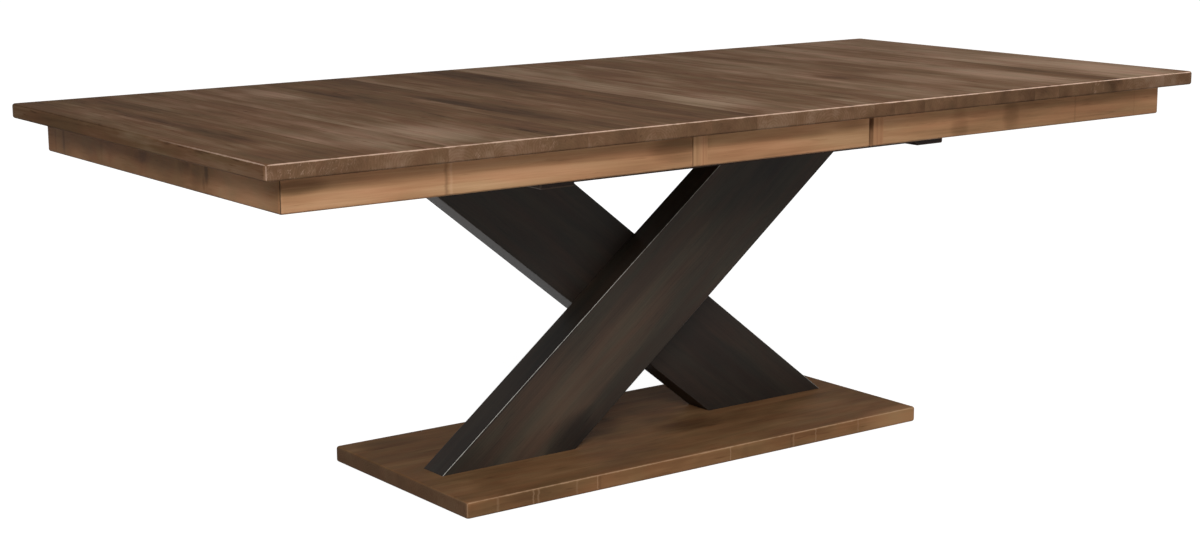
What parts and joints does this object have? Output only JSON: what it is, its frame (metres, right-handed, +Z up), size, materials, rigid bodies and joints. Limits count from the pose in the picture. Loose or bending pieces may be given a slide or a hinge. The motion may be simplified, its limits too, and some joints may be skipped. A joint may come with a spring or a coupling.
{
  "type": "extending pedestal dining table",
  "caption": "Extending dining table with a lift-out leaf, carried on two crossed sloping planks and a flat plinth, with geared wooden slides.",
  "frame": {"origin": "on the floor under the centre of the table", "axes": "+X along the table to the right half, +Y to the back, +Z up"},
  "size_m": [2.286, 1.067, 0.768],
  "materials": {
    "top_wood": "rubbed matte stain on flat-sawn maple, boards across the table",
    "apron_wood": "light brown satin stain, horizontal grain",
    "plinth_wood": "mid brown satin stain with worn arrises",
    "plank_wood": "near-black rubbed stain with reddish undertone",
    "frame_wood": "dark brown stain, matte",
    "slide_wood": "bare waxed hardwood",
    "steel": "zinc-plated steel",
    "lock_brass": "brass-plated pressed plate",
    "glide_plastic": "dark nylon"
  },
  "bodies": {
    "pedestal": {"plinth": "plinth_wood", "floor_glides": "glide_plastic", "front_cross_plank": "plank_wood", "back_cross_plank": "plank_wood", "crossing_dowels": "slide_wood", "foot_bolts": "steel", "left_bolster": "frame_wood", "right_bolster": "frame_wood", "head_bolts": "steel", "front_side_rail": "frame_wood", "back_side_rail": "frame_wood", "centre_spine": "frame_wood", "subframe_dowels": "slide_wood", "front_fixed_slide": "slide_wood", "back_fixed_slide": "slide_wood", "fixed_slide_screws": "steel", "pinion_axles": "steel"},
    "right_half": {"right_top": "top_wood", "right_end_apron": "apron_wood", "right_front_apron": "apron_wood", "right_back_apron": "apron_wood", "right_apron_block": "apron_wood", "right_corner_blocks": "slide_wood", "right_cleats": "slide_wood", "right_cleat_screws": "steel", "right_front_rail": "slide_wood", "right_back_rail": "slide_wood", "right_racks": "steel", "right_rail_screws": "steel", "right_align_pins": "slide_wood", "right_lock_plates": "lock_brass"},
    "left_half": {"left_top": "top_wood", "left_end_apron": "apron_wood", "left_front_apron": "apron_wood", "left_back_apron": "apron_wood", "left_apron_block": "apron_wood", "left_corner_blocks": "slide_wood", "left_cleats": "slide_wood", "left_cleat_screws": "steel", "left_front_rail": "slide_wood", "left_back_rail": "slide_wood", "left_racks": "steel", "left_rail_screws": "steel", "left_align_pins": "slide_wood", "left_lock_plates": "lock_brass"},
    "leaf": {"leaf_top": "top_wood", "leaf_front_apron": "apron_wood", "leaf_back_apron": "apron_wood", "leaf_apron_blocks": "apron_wood", "leaf_cleats": "slide_wood", "leaf_cleat_screws": "steel", "leaf_lock_keepers": "lock_brass"},
    "front_pinion": {"front_pinion": "steel"},
    "back_pinion": {"back_pinion": "steel"},
    "right_front_lever": {"right_front_lever": "lock_brass"},
    "right_back_lever": {"right_back_lever": "lock_brass"},
    "left_front_lever": {"left_front_lever": "lock_brass"},
    "left_back_lever": {"left_back_lever": "lock_brass"}
  },
  "joints": [
    {"name": "right_half_slide", "type": "slide", "parent": "pedestal", "child": "right_half", "axis": [1, 0, 0], "range_m": [0, 0.229]},
    {"name": "left_half_slide", "type": "slide", "parent": "pedestal", "child": "left_half", "axis": [-1, 0, 0], "range_m": [0, 0.229]},
    {"name": "front_pinion_spin", "type": "hinge", "parent": "pedestal", "child": "front_pinion", "pos_m": [0, -0.3, 0.702], "axis": [0, 0, 1], "range_deg": [-5, 661]},
    {"name": "back_pinion_spin", "type": "hinge", "parent": "pedestal", "child": "back_pinion", "pos_m": [0, 0.3, 0.702], "axis": [0, 0, 1], "range_deg": [-5, 661]},
    {"name": "leaf_lift", "type": "slide", "parent": "pedestal", "child": "leaf", "axis": [0, 0, 1], "range_m": [0, 0.4]},
    {"name": "right_front_lock", "type": "hinge", "parent": "right_half", "child": "right_front_lever", "pos_m": [0.254, -0.4105, 0.73495], "axis": [0, 0, 1], "range_deg": [0, 90]},
    {"name": "right_back_lock", "type": "hinge", "parent": "right_half", "child": "right_back_lever", "pos_m": [0.254, 0.4105, 0.73495], "axis": [0, 0, -1], "range_deg": [0, 90]},
    {"name": "left_front_lock", "type": "hinge", "parent": "left_half", "child": "left_front_lever", "pos_m": [-0.254, -0.4105, 0.73495], "axis": [0, 0, -1], "range_deg": [0, 90]},
    {"name": "left_back_lock", "type": "hinge", "parent": "left_half", "child": "left_back_lever", "pos_m": [-0.254, 0.4105, 0.73495], "axis": [0, 0, 1], "range_deg": [0, 90]}
  ],
  "couplings": [
    {"joint": "left_half_slide", "follows": "right_half_slide", "ratio": 1},
    {"joint": "front_pinion_spin", "follows": "right_half_slide", "rad_per_m": 50},
    {"joint": "back_pinion_spin", "follows": "right_half_slide", "rad_per_m": 50}
  ]
}
